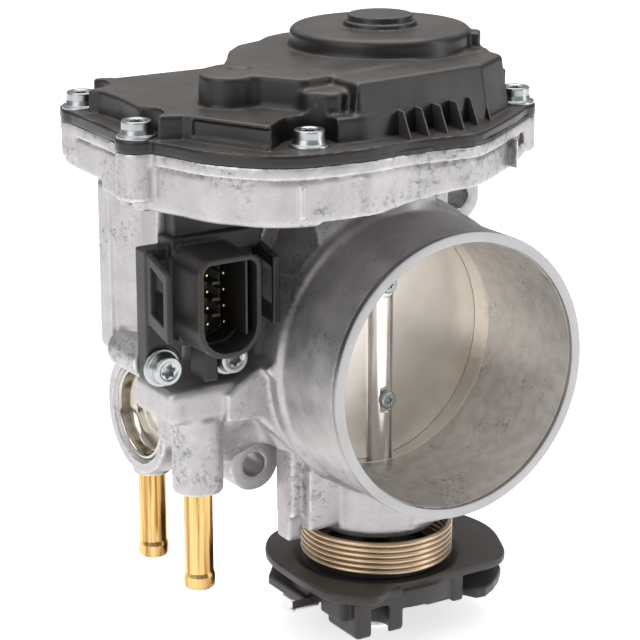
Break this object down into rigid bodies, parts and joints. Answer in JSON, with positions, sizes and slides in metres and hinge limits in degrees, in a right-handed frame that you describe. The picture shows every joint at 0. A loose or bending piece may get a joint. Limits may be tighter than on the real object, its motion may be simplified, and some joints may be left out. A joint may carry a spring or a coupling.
{
  "type": "throttle body",
  "caption": "Cast throttle body with round inlet collar, shaft and plate, cable quadrant with return spring, geared idle drive under a plastic cover, socket, coolant hose nipples.",
  "frame": {"origin": "centre of the bore on the manifold face, which is also the centre of the four flange bolts", "axes": "+Z along the throttle shaft towards the gear cover, +Y along the bore out of the manifold face, +X to the right seen from the inlet collar"},
  "size_m": [0.1292, 0.09, 0.1787],
  "materials": {
    "cast_aluminium": "fine sand-cast grain with bare machined faces",
    "black_plastic": "satin moulded, fine spark texture",
    "connector_plastic": "satin moulded",
    "quadrant_plastic": "satin moulded, glass filled",
    "rubber": "matte",
    "zinc_steel": "bright zinc plating",
    "turned_steel": "ground bright",
    "bearing_steel": "ground",
    "lever_steel": "pressed sheet, plated",
    "plate_metal": "machined, satin",
    "spring_wire": "drawn wire, bronze coloured coating",
    "gear_plastic": "moulded, natural",
    "motor_steel": "drawn can, passivated",
    "circuit_board": "laminate with lacquer",
    "contact_gold": "gold flash",
    "plug_steel": "pressed, polished",
    "brass": "turned, bright"
  },
  "bodies": {
    "housing": {"throttle_housing": "cast_aluminium", "gear_cover": "black_plastic", "cover_gasket": "rubber", "cover_screws": "zinc_steel", "upper_bearing": "bearing_steel", "lower_bearing": "bearing_steel", "shaft_seal": "rubber", "return_spring": "spring_wire", "gear_pin": "bearing_steel", "idle_motor": "motor_steel", "motor_clamp": "lever_steel", "motor_screws": "zinc_steel", "sensor_board": "circuit_board", "sensor_screws": "zinc_steel", "connector_housing": "connector_plastic", "connector_pins": "contact_gold", "connector_screws": "zinc_steel", "core_plug": "plug_steel", "hose_nipples": "brass"},
    "idle_drive": {"gear_sector": "gear_plastic"},
    "throttle": {"throttle_shaft": "turned_steel", "throttle_plate": "plate_metal", "plate_screws": "zinc_steel", "throttle_lever": "lever_steel", "wiper_arm": "black_plastic", "shaft_nut": "zinc_steel", "cable_quadrant": "quadrant_plastic", "quadrant_insert": "lever_steel", "quadrant_nut": "zinc_steel"},
    "intermediate": {"intermediate_gear": "gear_plastic"},
    "motor_rotor": {"motor_pinion": "brass"}
  },
  "joints": [
    {"name": "idle_drive_turn", "type": "hinge", "parent": "housing", "child": "idle_drive", "pos_m": [0, -0.024, 0], "axis": [0, 0, 1], "range_deg": [0, 15]},
    {"name": "throttle_turn", "type": "hinge", "parent": "idle_drive", "child": "throttle", "pos_m": [0, -0.024, 0], "axis": [0, 0, 1], "range_deg": [0, 70], "deforming": ["return_spring"]},
    {"name": "intermediate_turn", "type": "hinge", "parent": "housing", "child": "intermediate", "pos_m": [-0.04179, -0.02818, 0], "axis": [0, 0, 1], "range_deg": [-90, 0]},
    {"name": "motor_turn", "type": "hinge", "parent": "housing", "child": "motor_rotor", "pos_m": [-0.0575, -0.005, 0], "axis": [0, 0, 1], "range_deg": [0, 330]}
  ],
  "couplings": [
    {"joint": "intermediate_turn", "follows": "idle_drive_turn", "ratio": -6},
    {"joint": "motor_turn", "follows": "idle_drive_turn", "ratio": 22}
  ]
}
